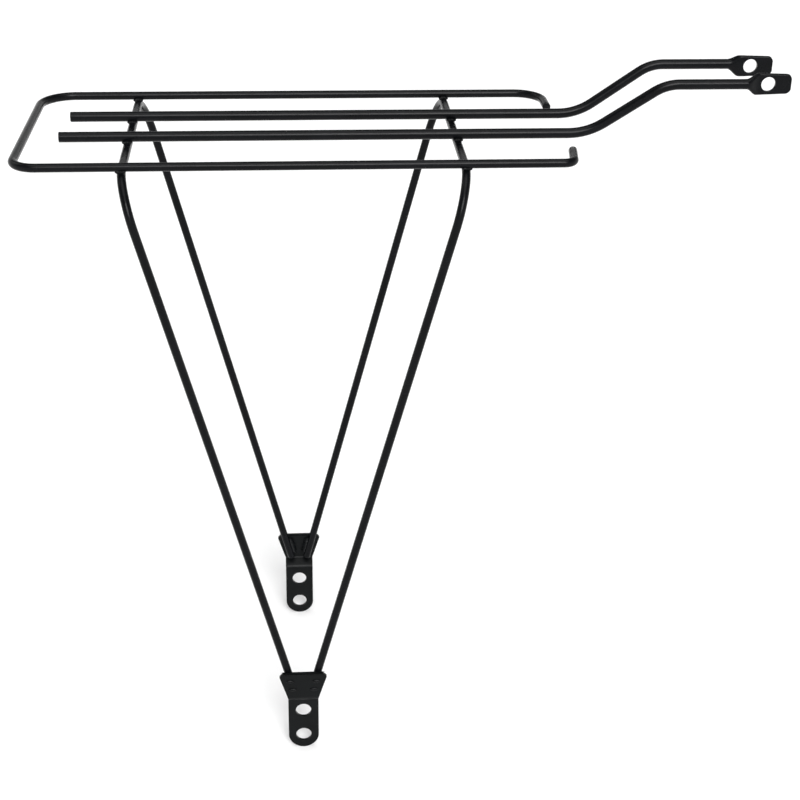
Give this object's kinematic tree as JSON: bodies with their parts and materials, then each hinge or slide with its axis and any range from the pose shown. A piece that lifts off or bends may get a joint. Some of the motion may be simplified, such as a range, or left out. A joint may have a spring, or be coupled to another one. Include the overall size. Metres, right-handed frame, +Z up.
{
  "type": "rear rack",
  "caption": "Bicycle rear rack of welded bent rod: flat platform on two hoops, a pierced plate at each dropout and two forward stays with flattened ends.",
  "frame": {"origin": "midway between the upper eyelets of the two dropout plates, where the rack hangs on the bicycle's frame", "axes": "+X forward, towards the saddle end of the bicycle; +Y to the bicycle's left; +Z up"},
  "size_m": [0.4487, 0.1826, 0.431],
  "materials": {
    "rod_enamel": "gloss black enamel on round steel rod",
    "plate_enamel": "gloss black enamel on stamped steel sheet",
    "weld_enamel": "gloss black enamel over rippled weld beads"
  },
  "bodies": {
    "root": {"platform_rim": "rod_enamel", "centre_rail_right": "rod_enamel", "centre_rail_left": "rod_enamel", "rear_hoop": "rod_enamel", "front_hoop": "rod_enamel", "dropout_plate_right": "plate_enamel", "dropout_plate_left": "plate_enamel", "weld_rear_hoop_rail_right": "weld_enamel", "weld_rear_hoop_rim_right": "weld_enamel", "weld_rear_foot_right": "weld_enamel", "plug_weld_rear_right_upper": "weld_enamel", "plug_weld_rear_right_lower": "weld_enamel", "weld_rear_hoop_rail_left": "weld_enamel", "weld_rear_hoop_rim_left": "weld_enamel", "weld_rear_foot_left": "weld_enamel", "plug_weld_rear_left_upper": "weld_enamel", "plug_weld_rear_left_lower": "weld_enamel", "weld_front_hoop_rail_right": "weld_enamel", "weld_front_hoop_rim_right": "weld_enamel", "weld_front_foot_right": "weld_enamel", "plug_weld_front_right_upper": "weld_enamel", "plug_weld_front_right_lower": "weld_enamel", "weld_front_hoop_rail_left": "weld_enamel", "weld_front_hoop_rim_left": "weld_enamel", "weld_front_foot_left": "weld_enamel", "plug_weld_front_left_upper": "weld_enamel", "plug_weld_front_left_lower": "weld_enamel"}
  },
  "joints": []
}
